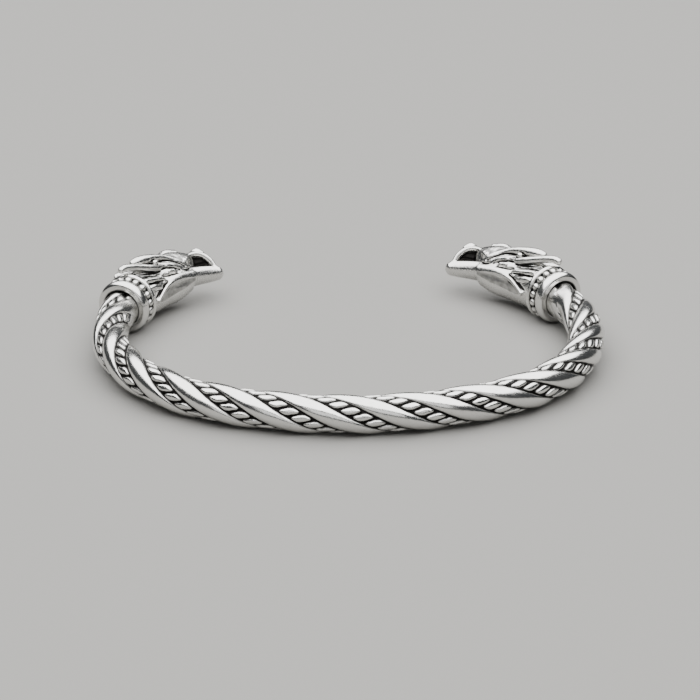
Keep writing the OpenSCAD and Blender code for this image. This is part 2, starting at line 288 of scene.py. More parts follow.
def steel_with_black_and_painted_shade(name, bright, rough, marks, grain_mm, scratch_mm, stretch, blackened):
    """Bright steel which turns black where its attribute for blackening and painted shade lies
    between the two of blackened. Marks are how dark its scratches get, and stretch draws them out
    along the rubbing direction."""
    steel = bpy.data.materials.new(name)
    steel.use_nodes = True
    tree = steel.node_tree
    tree.nodes.clear()
    place = add(tree, "ShaderNodeTexCoord").outputs["Object"]
    recess = add(tree, "ShaderNodeAttribute", attribute_name="recess").outputs["Fac"]
    along = add(tree, "ShaderNodeAttribute", attribute_name="rub").outputs["Vector"]
    # Cast skin: soft unevenness over a millimetre or so
    cast = add(tree, "ShaderNodeTexNoise", {"Vector": place, "Scale": 1 / (grain_mm * MM),
                                            "Detail": 3.0, "Roughness": 0.55})
    # Wheel scratches: long in the rubbing direction, fine across it
    rubbed = add(tree, "ShaderNodeVectorMath", {0: along, 1: stretch}, operation="MULTIPLY")
    scratch = add(tree, "ShaderNodeTexNoise", {"Vector": rubbed,
                                               "Scale": 1 / (scratch_mm * MM),
                                               "Detail": 4.0, "Roughness": 0.65})
    known = {"recess": recess, "cast": cast.outputs["Fac"], "scratch": scratch.outputs["Fac"]}
    follow(tree, known, (
        # The black creeps over the groove's edge unevenly
        ("creep", "Math", "MULTIPLY_ADD", "cast", 0.36, -0.18),
        ("uneven", "Math", "ADD", "recess", "creep"),
        ("black", "MapRange", "SMOOTHSTEP", "uneven", *blackened, 0.0, 1.0),
        # The deepest scratches hold black too
        ("scored", "MapRange", "LINEAR", "scratch", 0.60, 0.72, 0.0, marks),
        ("shade", "Math", "MAXIMUM", "black", "scored"),
        ("polish", "MapRange", "LINEAR", "scratch", 0.3, 0.75, rough * 0.75, rough * 1.7),
        ("roughness", "Mix", None, "black", None, "polish", BLACK_ROUGHNESS),
        ("height", "Math", "MULTIPLY_ADD", "scratch", 0.7 * marks, "cast")))
    colour = add(tree, "ShaderNodeMix", {0: known["shade"], 6: linear(bright),
                                         7: linear(BLACK)}, data_type="RGBA")
    bump = add(tree, "ShaderNodeBump", {"Height": known["height"], "Strength": 0.22,
                                        "Distance": 0.05 * MM})
    shader = add(tree, "ShaderNodeBsdfPrincipled", {
        "Base Color": colour.outputs[2], "Roughness": known["roughness"],
        "Normal": bump, "Metallic": 1.0})
    add(tree, "ShaderNodeOutputMaterial", {"Surface": shader})
    return steel


# The strands are rubbed along the twist, so their scratches are long. The wheel crosses the
# collars every way, and it can't get between the heads' forms, which stay a little duller.
band_steel = steel_with_black_and_painted_shade(
    "polished_cast_steel_strands", "d9d8d5", rough=0.17, marks=0.55, grain_mm=0.9,
    scratch_mm=0.16, stretch=(0.12, 1.0, 1.0), blackened=(0.40, 0.84))
collar_steel = steel_with_black_and_painted_shade(
    "polished_cast_steel_collar", "d9d8d5", rough=0.17, marks=0.35, grain_mm=0.8,
    scratch_mm=0.2, stretch=(1.0, 1.0, 1.0), blackened=(0.35, 0.9))
head_steel = steel_with_black_and_painted_shade(
    "polished_cast_steel_head", "d2d1ce", rough=0.20, marks=0.18, grain_mm=0.8,
    scratch_mm=0.2, stretch=(0.4, 1.0, 1.0), blackened=(0.30, 0.85))
print("materials:", [m.name for m in (band_steel, collar_steel, head_steel)])

# %% [markdown]
# ## The twisted band
#
# Six strands could be swept one by one, but on a cast ring they are only relief on one
# solid. So one skin is swept along the centreline and a rule gives its depth at every
# point: across a smooth strand it is part of a circle, and across a beaded one it is a
# row of domes with slanted edges. The columns of the skin turn with the twist, so each
# groove follows a line of the mesh and stays sharp.

# %% Sizes of the band's tree
# About eleven rings of the skin lie on a bead, enough for its dome. The wrist's side starts
# at the edge, a share of the radius inwards from the centre, and is reached fully at more.
band_sizes = {
    "Rings": 880, "Columns": 108, "Strands": STRANDS,
    "Radius": BAND_D / 2 * MM, "Half Length": BAND_HALF * MM,
    "Twist Lead": TWIST_LEAD * MM, "Twist Start": math.radians(TWIST_START),
    "Groove Depth": GROOVE_DEPTH * MM, "Smooth Share": SMOOTH_SHARE,
    "Bead Drop": BEAD_DROP * MM, "Bead Pitch": BEAD_PITCH * MM, "Bead Lean": BEAD_LEAN * MM,
    "Gap Across": BEAD_GAP_ACROSS, "Gap Along": BEAD_GAP_ALONG,
    "Bead Squareness": BEAD_SQUARENESS, "Bead Flatness": BEAD_FLATNESS,
    "Plain From": (MOUTH_DEPTH + PLAIN_FROM) * MM, "Plain To": (MOUTH_DEPTH + PLAIN_TO) * MM,
    "Plain Share": PLAIN_SHARE, "Wrist Edge": -0.2, "Wrist Fully": -0.6,
    "Map Width": MAP_WIDTH * MM, "Finish": band_steel}
tree, known, result = new_tree("twisted_strands", band_sizes)
print("sizes of the band's tree:", len(band_sizes))

# %% Sweep the skin
line = add(tree, "GeometryNodeResampleCurve", {"Curve": known["Geometry"],
                                               "Count": known["Rings"]})
loop = add(tree, "GeometryNodeCurvePrimitiveCircle", {"Resolution": known["Columns"],
                                                      "Radius": known["Radius"]})
curves = {"line": line, "loop": loop}
# Each point of the skin carries what the rule needs of the curves that made it
for curve, label, kind, source, output in (
        ("line", "length", "FLOAT", "SplineParameter", "Length"),
        ("line", "centre", "VECTOR", "InputPosition", "Position"),
        ("line", "tangent", "VECTOR", "InputTangent", "Tangent"),
        ("loop", "round", "FLOAT", "SplineParameter", "Factor")):
    held = add(tree, "GeometryNodeCaptureAttribute", {"Geometry": curves[curve]})
    held.capture_items.new(kind, label)
    tree.links.new(add(tree, "GeometryNode" + source).outputs[output], held.inputs[1])
    curves[curve], known[label] = held, held.outputs[1]
skin = add(tree, "GeometryNodeCurveToMesh", {"Curve": curves["line"],
                                             "Profile Curve": curves["loop"],
                                             "Fill Caps": True})
print("the skin carries:", [name for name in known if name.islower()])

# %% Rule for the strands' depth
follow(tree, known, (
    # Place along the band, and place across two strands: 0 on a smooth one's crest and 0.5
    # on a beaded one's. The skin's seam lies in a groove, where the black hides it.
    ("along", "Math", "SUBTRACT", "length", "Half Length"),
    ("strand turn", "Math", "MULTIPLY_ADD", "round", "Strands", "Smooth Share"),
    ("across", "Math", "FRACT", "strand turn"),
    ("off crest", "Math", "PINGPONG", "across", 0.5),
    # A smooth strand is part of a circle
    ("side", "Math", "DIVIDE", "off crest", "Smooth Share"),
    ("side squared", "Math", "POWER", "side", 2.0),
    ("smooth rest", "Math", "SUBTRACT", 1.0, "side squared"),
    ("smooth square", "Math", "MAXIMUM", "smooth rest", 0.0),
    ("smooth height", "Math", "SQRT", "smooth square"),
    ("smooth depth", "Math", "SUBTRACT", 1.0, "smooth height"),
    # Place on a bead, a across the strand and b along it, both from -1 to 1
    ("bead share", "Math", "SUBTRACT", 0.5, "Smooth Share"),
    ("off bead", "Math", "SUBTRACT", "across", 0.5),
    ("a", "Math", "DIVIDE", "off bead", "bead share"),
    ("lean", "Math", "MULTIPLY", "a", "Bead Lean"),
    ("leaned", "Math", "MULTIPLY_ADD", "lean", -0.5, "along"),
    ("beads", "Math", "DIVIDE", "leaned", "Bead Pitch"),
    ("bead step", "Math", "FRACT", "beads"),
    ("b", "Math", "MULTIPLY_ADD", "bead step", 2.0, -1.0),
    # A bead is a flat dome on a square with round corners, and gaps keep it off its place's edge
    ("a wide", "Math", "MULTIPLY", "a", "Gap Across"),
    ("b wide", "Math", "MULTIPLY", "b", "Gap Along"),
    ("a size", "Math", "ABSOLUTE", "a wide"),
    ("b size", "Math", "ABSOLUTE", "b wide"),
    ("a power", "Math", "POWER", "a size", "Bead Squareness"),
    ("b power", "Math", "POWER", "b size", "Bead Squareness"),
    ("bead used", "Math", "ADD", "a power", "b power"),
    ("bead rest", "Math", "SUBTRACT", 1.0, "bead used"),
    ("bead left", "Math", "MAXIMUM", "bead rest", 0.0),
    ("bead dome", "Math", "POWER", "bead left", "Bead Flatness"),
    # Depth below the smooth crest, as a share of the groove's depth
    ("bead top", "Math", "DIVIDE", "Bead Drop", "Groove Depth"),
    ("bead room", "Math", "SUBTRACT", 1.0, "bead top"),
    ("bead rise", "Math", "MULTIPLY", "bead dome", "bead room"),
    ("bead depth", "Math", "SUBTRACT", 1.0, "bead rise"),
    ("on bead", "Math", "GREATER_THAN", "off crest", "Smooth Share"),
    ("full depth", "Mix", None, "on bead", None, "smooth depth", "bead depth")))
print("depth rule:", len(tree.nodes), "nodes so far")

# %% Rule for each point's place
follow(tree, known, (
    # Angle round the band: the column's own turn, less the twist up to here
    ("column", "Math", "DIVIDE", "strand turn", "Strands"),
    ("twist", "Math", "DIVIDE", "along", "Twist Lead"),
    ("turns", "Math", "SUBTRACT", "column", "twist"),
    ("angle", "Math", "MULTIPLY_ADD", "turns", 2 * math.pi, "Twist Start"),
    ("out", "Math", "COSINE", "angle"),
    ("rise", "Math", "SINE", "angle"),
    # The relief runs out before each collar, on the wrist's side
    ("off middle", "Math", "ABSOLUTE", "along"),
    ("to end", "Math", "SUBTRACT", "Half Length", "off middle"),
    ("near end", "MapRange", "SMOOTHSTEP", "to end", "Plain From", "Plain To", 1.0, 0.0),
    ("wrist side", "MapRange", "SMOOTHSTEP", "out", "Wrist Fully", "Wrist Edge",
     "Plain Share", 0.0),
    ("plain", "Math", "MULTIPLY", "near end", "wrist side"),
    ("kept", "Math", "SUBTRACT", 1.0, "plain"),
    ("depth", "Math", "MULTIPLY", "full depth", "kept"),
    # Outwards and upwards from the centre, by the radius less the depth
    ("cut", "Math", "MULTIPLY", "depth", "Groove Depth"),
    ("reach", "Math", "SUBTRACT", "Radius", "cut"),
    ("outwards", "VectorMath", "CROSS_PRODUCT", "tangent", (0, 0, 1)),
    ("out part", "VectorMath", "SCALE", "outwards", None, None, "out"),
    ("up part", "CombineXYZ", None, 0.0, 0.0, "rise"),
    ("direction", "VectorMath", "ADD", "out part", "up part"),
    ("arm", "VectorMath", "SCALE", "direction", None, None, "reach"),
    ("point", "VectorMath", "ADD", "centre", "arm"),
    # A flat map of the strands, which the wheel's scratches follow
    ("map across", "Math", "MULTIPLY", "column", "Map Width"),
    ("map", "CombineXYZ", None, "along", "map across", 0.0)))
shaped = add(tree, "GeometryNodeSetPosition", {"Geometry": skin, "Position": known["point"]})
end_tree(tree, shaped, known["depth"], known["map"], known, result)

# %% Grow the band
path = bpy.data.curves.new("centreline", "CURVE")
path.dimensions = "3D"
spline = path.splines.new("POLY")
steps = band_sizes["Rings"]
spline.points.add(steps)
for i, place in enumerate(spline.points):
    place.co = [*(centreline(BAND_HALF * (2 * i / steps - 1)) * MM), 1]
band = grow("twisted_band.skin", path, tree, band_sizes)
band.data.transform(REST)
close_and_smooth(band)
print("band:", len(band.data.polygons), "faces")

# %% [markdown]
# ## The collars
#
# A collar is a short sleeve with a wide rounded ring, a row of beads and a thin ring. On
# the real one they were separate wires and balls on the wax. Circles swept with a small
# profile make the rings, and one ball is set at each point of a circle for the beads.

# %% Sizes of the collar's tree
# The black starts just inside a radius, and ends so far outside it at the wide ring, where it
# is painted shadow in the gap round the band, and at the beads, where it is the blackening
collar_sizes = {
    "Sleeve Diameter": SLEEVE_D * MM, "Sleeve Bore": (BAND_D + 2 * SLEEVE_PLAY) * MM,
    "Sleeve Length": COLLAR_LENGTH * MM, "Sleeve Edge": SLEEVE_EDGE * MM,
    "Ridge Diameter": RIDGE_D * MM, "Ridge Width": RIDGE_W * MM,
    "Ridge Thickness": RIDGE_T * MM, "Beads": COLLAR_BEADS, "Seed": 7,
    "Bead Diameter": COLLAR_BEAD_D * MM, "Bead Row Diameter": BEAD_ROW_D * MM,
    "Bead Row Place": BEAD_ROW_AT * MM, "Smallest Bead": 0.93, "Bead Segments": 28,
    "Bead Rings": 16, "Edge Points": 3,
    "Thin Ring Diameter": THIN_RING_D * MM, "Thin Ring Wire": THIN_RING_WIRE * MM,
    "Thin Ring Place": THIN_RING_AT * MM, "Black Inside": 0.05 * MM,
    "Black At Ridge": 0.50 * MM, "Black At Beads": 0.85 * MM,
    "Circle Steps": 160, "Wire Steps": 32, "Finish": collar_steel}
tree, known, result = new_tree("beaded_collar", collar_sizes)
print("sizes of the collar's tree:", len(collar_sizes))

# %% Rings and sleeve of a collar
follow(tree, known, (
    ("half ridge", "Math", "MULTIPLY", "Ridge Width", 0.5),
    ("half sleeve", "Math", "MULTIPLY", "Sleeve Length", 0.5),
    ("both walls", "Math", "SUBTRACT", "Sleeve Diameter", "Sleeve Bore"),
    ("wall", "Math", "MULTIPLY", "both walls", 0.5),
    ("both diameters", "Math", "ADD", "Sleeve Diameter", "Sleeve Bore"),
    ("wall radius", "Math", "MULTIPLY", "both diameters", 0.25)))
# The section of a ring is an oval, and the sleeve's is a rectangle with rounded corners
sections = []
for outside, thick, width, place in (
        ("Ridge Diameter", "Ridge Thickness", "Ridge Width", "half ridge"),
        ("Thin Ring Diameter", "Thin Ring Wire", "Thin Ring Wire", "Thin Ring Place")):
    follow(tree, known, (
        ("middle diameter", "Math", "SUBTRACT", outside, thick),
        ("middle radius", "Math", "MULTIPLY", "middle diameter", 0.5),
        ("half width", "Math", "MULTIPLY", width, 0.5),
        ("squash", "Math", "DIVIDE", thick, width),
        ("oval", "CombineXYZ", None, "squash", 1.0, 1.0)))
    wire = add(tree, "GeometryNodeCurvePrimitiveCircle", {"Resolution": known["Wire Steps"],
                                                          "Radius": known["half width"]})
    oval = add(tree, "GeometryNodeTransform", {"Geometry": wire, "Scale": known["oval"]})
    sections.append((oval, known["middle radius"], place))
corners = add(tree, "GeometryNodeCurvePrimitiveQuadrilateral",
              {"Width": known["wall"], "Height": known["Sleeve Length"]})
wall = add(tree, "GeometryNodeFilletCurve", {"Curve": corners, "Radius": known["Sleeve Edge"],
                                             "Count": known["Edge Points"]}, mode="POLY")
sections.append((wall, known["wall radius"], "half sleeve"))
parts = []
for section, radius, place in sections:
    circle = add(tree, "GeometryNodeCurvePrimitiveCircle", {"Resolution": known["Circle Steps"],
                                                            "Radius": radius})
    turned = add(tree, "GeometryNodeCurveToMesh", {"Curve": circle, "Profile Curve": section})
    parts.append((turned, place))
print("collar sections:", len(parts))

# %% Beads of a collar
# Each bead is a little different in size, as on a hand-made wax
follow(tree, known, (
    ("row diameter", "Math", "SUBTRACT", "Bead Row Diameter", "Bead Diameter"),
    ("row radius", "Math", "MULTIPLY", "row diameter", 0.5),
    ("bead radius", "Math", "MULTIPLY", "Bead Diameter", 0.5)))
row = add(tree, "GeometryNodeCurvePrimitiveCircle", {"Resolution": known["Beads"],
                                                     "Radius": known["row radius"]})
ball = add(tree, "GeometryNodeMeshUVSphere", {"Segments": known["Bead Segments"],
                                              "Rings": known["Bead Rings"],
                                              "Radius": known["bead radius"]})
bead_size = add(tree, "FunctionNodeRandomValue", {2: known["Smallest Bead"], 3: 1.0,
                                                  "Seed": known["Seed"]}, data_type="FLOAT")
balls = add(tree, "GeometryNodeInstanceOnPoints", {"Points": row, "Instance": ball,
                                                   "Scale": bead_size.outputs[1]})
parts.append((balls, "Bead Row Place"))
joined = add(tree, "GeometryNodeJoinGeometry")
for part, place in parts:
    follow(tree, known, [("height", "CombineXYZ", None, 0.0, 0.0, place)])
    moved = add(tree, "GeometryNodeTransform", {"Geometry": part,
                                                "Translation": known["height"]})
    tree.links.new(moved.outputs[0], joined.inputs[0])
print("collar parts:", len(parts))

# %% Black of a collar, with painted shadow where the band enters it
# Black stays close to the sleeve among the beads, and painted shadow lies where the band
# enters the wide ring. The change from one to the other is at these shares of the wide ring's
# width.
RIDGE_SHADOW_TO, BEAD_BLACK_FROM = 0.75, 0.95
spot = add(tree, "GeometryNodeInputPosition")
flat_spot = add(tree, "ShaderNodeVectorMath", {0: spot, 1: (1, 1, 0)}, operation="MULTIPLY")
from_axis = add(tree, "ShaderNodeVectorMath", {0: flat_spot}, operation="LENGTH")
known["from axis"] = from_axis.outputs["Value"]
known["up"] = add(tree, "ShaderNodeSeparateXYZ", {0: spot}).outputs["Z"]
follow(tree, known, (
    ("past ridge", "Math", "DIVIDE", "up", "Ridge Width"),
    ("at beads", "MapRange", "LINEAR", "past ridge", RIDGE_SHADOW_TO, BEAD_BLACK_FROM, 0.0, 1.0),
    ("sleeve radius", "Math", "MULTIPLY", "Sleeve Diameter", 0.5),
    ("bore radius", "Math", "MULTIPLY", "Sleeve Bore", 0.5),
    ("black radius", "Mix", None, "at beads", None, "bore radius", "sleeve radius"),
    ("above black", "Math", "SUBTRACT", "from axis", "black radius"),
    ("below black", "Math", "MULTIPLY", "Black Inside", -1.0),
    ("black reach", "Mix", None, "at beads", None, "Black At Ridge", "Black At Beads"),
    ("deep", "MapRange", "LINEAR", "above black", "below black", "black reach", 1.0, 0.0)))
end_tree(tree, joined, known["deep"], spot, known, result)

# %% Grow both collars
pieces = {"twisted_band": band}
for name, side in (("left_collar", -1), ("right_collar", 1)):
    collar = grow(name + ".rings", bpy.data.meshes.new("empty"), tree, collar_sizes)
    seat = (Matrix.Translation(((CLEARANCE - MOUTH_DEPTH) * MM, 0, 0))
            @ Matrix.Rotation(math.pi / 2, 4, "Y"))
    collar.data.transform(on_end(side) @ seat)
    close_and_smooth(collar)
    pieces[name] = collar
    print(name, len(collar.data.polygons), "faces")

# %% [markdown]
# ## The beasts' heads
#
# A head is sculpted as a field: every point in space gets its distance to the nearest
# form, below zero inside. Forms are round bars with changing thickness. Adding a form
# takes the smaller distance, with a soft step where two meet, as wax flows together, and
# a groove is cut by a form that counts as outside. Where the field crosses zero a skin is
# drawn through it. The head is made straight and is bent to the ring's curve afterwards.

# %% Distance fields
# A grid of points from LOW to HIGH, where every point starts far outside the head
VOXEL, FAR_OUTSIDE = 0.105, 5.0
LOW, HIGH = np.array([-1.9, -4.1, -4.6]), np.array([18.9, 4.1, 5.6])
axes = [np.arange(a, b, VOXEL) for a, b in zip(LOW, HIGH)]
field = np.full([len(a) for a in axes], FAR_OUTSIDE, np.float32)
print("sculpting grid:", field.shape)


def smooth_line(rows, steps=4):
    """Rows of numbers with rounded-in rows between them (Catmull-Rom)."""
    p = np.vstack([2 * rows[0] - rows[1], rows, 2 * rows[-1] - rows[-2]])
    out = []
    for i in range(1, len(p) - 2):
        for u in np.arange(steps) / steps:
            out.append(0.5 * (2 * p[i] + (p[i + 1] - p[i - 1]) * u
                              + (2 * p[i - 1] - 5 * p[i] + 4 * p[i + 1] - p[i + 2]) * u ** 2
                              + (3 * p[i] - p[i - 1] - 3 * p[i + 1] + p[i + 2]) * u ** 3))
    return np.array(out + [rows[-1]])


def bar_distance(rows, flat, x, y, z):
    """Distance to a bar through rows of (along, side, rise, radius); flat widens it sideways."""
    y, rows = y / flat, rows / [1, flat, 1, 1]
    best = np.inf
    for p, q in zip(rows[:-1], rows[1:]):
        d = q[:3] - p[:3]
        h = np.clip(((x - p[0]) * d[0] + (y - p[1]) * d[1] + (z - p[2]) * d[2])
                    / max(d @ d, 1e-9), 0, 1)
        gap = np.sqrt((x - p[0] - h * d[0]) ** 2 + (y - p[1] - h * d[1]) ** 2
                      + (z - p[2] - h * d[2]) ** 2) - (p[3] + h * (q[3] - p[3]))
        best = np.minimum(best, gap)
    return best


def bars_of(rows, both):
    """The bar as a smooth line, and its mirror image if it lies to one side."""
    rows = np.array(rows, float)
    line = smooth_line(rows) if len(rows) > 2 else rows
    return [line * [1, hand, 1, 1]
            for hand in ((1, -1) if both and abs(rows[:, 1]).max() > 0 else (1,))]


def model(rows, flat=1.0, blend=0.15, cut=False, both=True):
    """Adds a bar to the head, or cuts it away, on both sides unless told otherwise."""
    for bar in bars_of(rows, both):
        # Only the part of the grid that the bar can change is worked on
        pad = bar[:, 3].max() * max(flat, 1) + 4 * blend + 0.3
        span = [slice(*np.searchsorted(a, (bar[:, i].min() - pad, bar[:, i].max() + pad)))
                for i, a in enumerate(axes)]
        near = field[tuple(span)]
        x, y, z = (a[c] for a, c in zip(axes, span))
        gap = bar_distance(bar, flat, x[:, None, None], y[None, :, None], z[None, None, :])
        if cut:
            mix = np.clip(0.5 - 0.5 * (near + gap) / blend, 0, 1)
            near[...] = near * (1 - mix) - gap * mix + blend * mix * (1 - mix)
        else:
            mix = np.clip(0.5 + 0.5 * (gap - near) / blend, 0, 1)
            near[...] = gap * (1 - mix) + near * mix - blend * mix * (1 - mix)


# %% [markdown]
# ### The forms, from large to small
#
# Each row is a place along the head, to its side and up to its crest, and a thickness, in
# millimetres. The skull and throat come first, then the jaws with the open mouth between
# them, and last the ears, folds and tufts that catch the light.

# %% Model the large forms
model([(0.9, 0, 0.0, 3.20), (4.0, 0, 0.15, 3.40), (7.2, 0, 0.55, 3.35),
       (10.0, 0, 1.15, 2.85), (11.8, 0, 1.45, 2.05)], flat=0.82)
model([(1.9, 0, -1.1, 2.30), (5.5, 0, -1.30, 2.20), (8.8, 0, -1.40, 2.05),
       (10.9, 0, -1.15, 1.72)], flat=1.05, blend=0.5)
# Neck, as wide as the collar's sleeve where it leaves it
model([(-0.6, 0, 0, 3.28), (0.8, 0, 0.05, 3.12)], blend=0.4)
# Lower jaw, squared along its upper edges
model([(10.5, 0, -0.65, 1.45), (13.0, 0, -0.70, 1.38), (15.5, 0, -0.95, 1.18),
       (16.95, 0, -1.05, 1.0)], flat=1.2)
model([(11.8, 0.80, -0.45, 0.92), (13.4, 0.85, -0.45, 0.80), (15.4, 0.72, -0.62, 0.72),
       (16.85, 0.50, -0.75, 0.66)], blend=0.12)
# Muzzle, which arches over the mouth and comes down on the jaw behind its tip
model([(11.6, 0, 1.45, 1.15), (12.7, 0, 2.10, 0.70), (13.6, 0, 2.42, 0.54),
       (14.5, 0, 2.42, 0.52), (15.3, 0, 2.08, 0.53), (15.95, 0, 1.40, 0.55),
       (16.4, 0, 0.65, 0.55), (16.7, 0, -0.30, 0.5)], flat=2.1)
# Wall in the middle of the mouth, a sheet that is painted black further on as the shade
# inside the mouth
model([(12.5, 0, 0.4, 0.34), (15.9, 0, 0.4, 0.34)], blend=0.3)
model([(12.5, 0, 1.2, 0.34), (15.5, 0, 1.2, 0.34)], blend=0.3)
model([(12.5, 0, 1.8, 0.34), (14.9, 0, 1.9, 0.34)], blend=0.3)
# Nose between the nostrils, and the crest of the forehead
model([(14.3, 0, 2.80, 0.42), (15.0, 0, 2.95, 0.52), (15.7, 0, 2.45, 0.44)], flat=1.3, blend=0.2)
model([(8.8, 0, 3.45, 0.60), (10.3, 0, 3.80, 0.66), (11.7, 0, 3.60, 0.50)], flat=1.2, blend=0.2)
# Cheek: a broad plate along the jaw, hollowed out below so that its lower edge is crisp
model([(5.0, 1.80, -0.55, 0.95), (6.2, 1.62, -0.85, 1.35), (8.0, 1.45, -0.92, 1.48),
       (10.0, 1.12, -0.92, 1.40), (11.7, 0.80, -0.90, 1.28)], blend=0.2)
model([(12.2, 2.45, -2.02, 0.74), (9.8, 2.86, -2.26, 0.94), (7.4, 3.20, -2.38, 1.04),
       (5.4, 3.20, -2.52, 1.04), (3.6, 2.95, -3.00, 0.92)], blend=0.05, cut=True)
print("inside points:", int((field < 0).sum()))


# %% Lay small forms on the surface
def laid(rows, sink, on_top=False):
    """Rows of (along, rise, radius) sunk into the head's side, or of (along, side, radius)
    sunk into its top, by a depth below the surface as it is now."""
    out = []
    for along, place, radius in smooth_line(np.array(rows, float), 3):
        i, j, k = (int(round(v / VOXEL)) for v in np.array([along, place, place]) - LOW)
        line = field[i, j] if on_top else field[i, :, k]
        centre = axes[2 if on_top else 1][np.flatnonzero(line < 0)[-1]] + radius - sink
        out.append((along, place, centre, radius) if on_top else (along, centre, place, radius))
    return out


GROOVE_SUNK = 0.20
# Share of that depth by which a groove's first and last points are raised, and how fast the
# share falls from point to point
END_RAISED, RAISED_LESS = 0.55, 0.3


def groove(rows, on_top=False):
    """Cuts a line into the side or the top, which runs out at both ends."""
    line = np.array(laid(rows, GROOVE_SUNK, on_top))
    from_end = np.minimum(np.arange(len(line)), np.arange(len(line))[::-1])
    raised = np.clip(END_RAISED - RAISED_LESS * from_end, 0, 1)
    line[:, 2 if on_top else 1] += GROOVE_SUNK * raised
    model(line, blend=0.06, cut=True)


# %% Model the small forms on both sides
# Upper ear: broad, then a brow ridge that runs down to the muzzle
model([(2.7, 1.9, 4.08, 0.52), (3.6, 2.0, 3.90, 0.76), (5.0, 2.05, 3.60, 0.80),
       (6.6, 2.1, 3.30, 0.62), (8.2, 2.05, 2.85, 0.46), (9.9, 1.95, 1.90, 0.42),
       (11.3, 1.70, 0.98, 0.38), (12.3, 1.25, 0.40, 0.3)], blend=0.1)
# Lower ear, which sweeps back over the collar on the side inside the ring
model([(2.6, 2.60, 2.85, 0.50), (4.2, 2.7, 2.10, 0.52), (5.6, 2.65, 1.60, 0.44),
       (6.8, 2.50, 1.55, 0.30)], blend=0.08)
model([(-0.85, 2.30, 4.16, 0.50), (0.0, 2.42, 4.06, 0.56), (1.2, 2.58, 3.52, 0.56),
       (2.8, 2.70, 2.75, 0.53), (4.2, 2.75, 2.10, 0.52), (5.6, 2.65, 1.60, 0.44)],
      blend=0.08, both=False)
# Rim of the jaw, from the cheek down and back along the throat
model([(6.9, 2.62, -1.15, 0.32), (5.1, 2.66, -1.38, 0.36), (3.55, 2.50, -1.88, 0.34),
       (1.83, 2.12, -2.56, 0.28)], blend=0.12)
# Fold under the brow
model(laid([(6.9, 1.95, 0.24), (8.9, 1.12, 0.26), (10.4, 0.30, 0.22)], 0.30), blend=0.05)
# Mane tufts next to the collar
model([(1.2, 3.00, 0.78, 0.32), (2.7, 2.86, 0.38, 0.46), (4.3, 2.80, 0.00, 0.42),
       (5.2, 2.70, -0.25, 0.28)], blend=0.06)
model([(1.1, 2.90, -0.45, 0.34), (2.2, 2.70, -0.62, 0.54), (3.5, 2.58, -0.98, 0.46)], blend=0.06)
# Bead between the ears
model([(5.65, 2.72, 2.50, 0.40), (5.85, 2.72, 2.50, 0.40)], blend=0.05)
print("inside points:", int((field < 0).sum()))

# %% Cut the grooves and set the eyes
# Between the ears and round the bead
for rows in ([(1.8, 3.75, 0.17), (3.4, 3.10, 0.20), (5.0, 2.55, 0.16)],
             [(5.05, 2.75, 0.15), (5.4, 3.02, 0.14), (6.0, 3.05, 0.14), (6.45, 2.7, 0.14),
              (6.3, 2.2, 0.14), (5.7, 1.98, 0.14)],
             # Hair of the neck, below the lower ear
             [(5.6, 0.95, 0.13), (3.8, 1.30, 0.17), (2.0, 2.15, 0.17), (0.5, 2.75, 0.15)],
             [(5.4, 0.65, 0.13), (3.6, 0.98, 0.16), (2.0, 1.60, 0.17), (0.5, 2.15, 0.15)],
             [(2.4, 1.15, 0.14), (1.4, 1.40, 0.16), (0.4, 1.65, 0.15)],
             # Between the tufts, and between them and the jaw's rim
             [(4.9, -0.48, 0.13), (3.3, -0.16, 0.15), (1.9, 0.08, 0.16), (0.6, 0.25, 0.16)],
             [(5.6, -0.80, 0.17), (4.3, -1.22, 0.20), (2.9, -1.62, 0.22), (1.3, -2.10, 0.22)],
             # Over the brow, under it, and under the fold
             [(6.6, 2.62, 0.14), (8.3, 2.20, 0.16), (9.8, 1.35, 0.15), (11.1, 0.55, 0.13)],
             [(6.1, 1.20, 0.15), (7.2, 1.12, 0.18), (8.4, 0.78, 0.18), (9.6, 0.22, 0.16)],
             # Top of the cheek, under the eye
             [(5.4, 0.30, 0.16), (6.4, -0.06, 0.17), (7.6, -0.22, 0.16), (8.8, -0.24, 0.15)],
             # Corner of the mouth
             [(10.4, 0.12, 0.16), (11.1, 0.0, 0.20), (11.8, 0.15, 0.16)]):
    groove(rows)
# On top: the mane's hair, the hollows beside the crest, and the nostrils
for rows in ([(5.6, 0.26, 0.13), (3.6, 0.30, 0.17), (1.8, 0.38, 0.18), (0.4, 0.48, 0.16)],
             [(5.9, 0.72, 0.13), (3.6, 0.86, 0.17), (1.8, 1.10, 0.18), (0.4, 1.40, 0.16)],
             [(2.4, 1.55, 0.14), (1.4, 1.75, 0.17), (0.4, 2.15, 0.16)],
             [(7.4, 0.78, 0.15), (9.0, 1.02, 0.20), (10.6, 1.0, 0.20), (12.0, 0.8, 0.15)],
             [(14.6, 0.84, 0.14), (15.1, 0.86, 0.18), (15.5, 0.80, 0.16)]):
    groove(rows, on_top=True)
# Eye, a long bead
model([(7.10, 2.74, 0.46, 0.36), (8.10, 2.62, 0.30, 0.36)], blend=0.03)
# Flat face against the collar, except for the swept ear, which reaches over the collar there
FACE_AT, EAR_OVER, EAR_BACK = 0.02, 4.05, -1.8
x, y, z = (a.reshape([-1 if i == j else 1 for j in range(3)]) for i, a in enumerate(axes))
swept = (np.hypot(y, z) > EAR_OVER) & (x > EAR_BACK)
field = np.where(swept, field, np.maximum(field, FACE_AT - x)).astype(np.float32)
print("inside points:", int((field < 0).sum()))

# %% [markdown]
# ### A skin through the field
#
# Each small cell of the grid that the surface passes through gets one point, at the mean
# of the places where the surface crosses the cell's edges. Four neighbouring cells round
# a crossed edge make one face. This is called surface nets. Where a square of the grid has
# only two opposite corners inside, the skin would touch itself, so one more is filled.

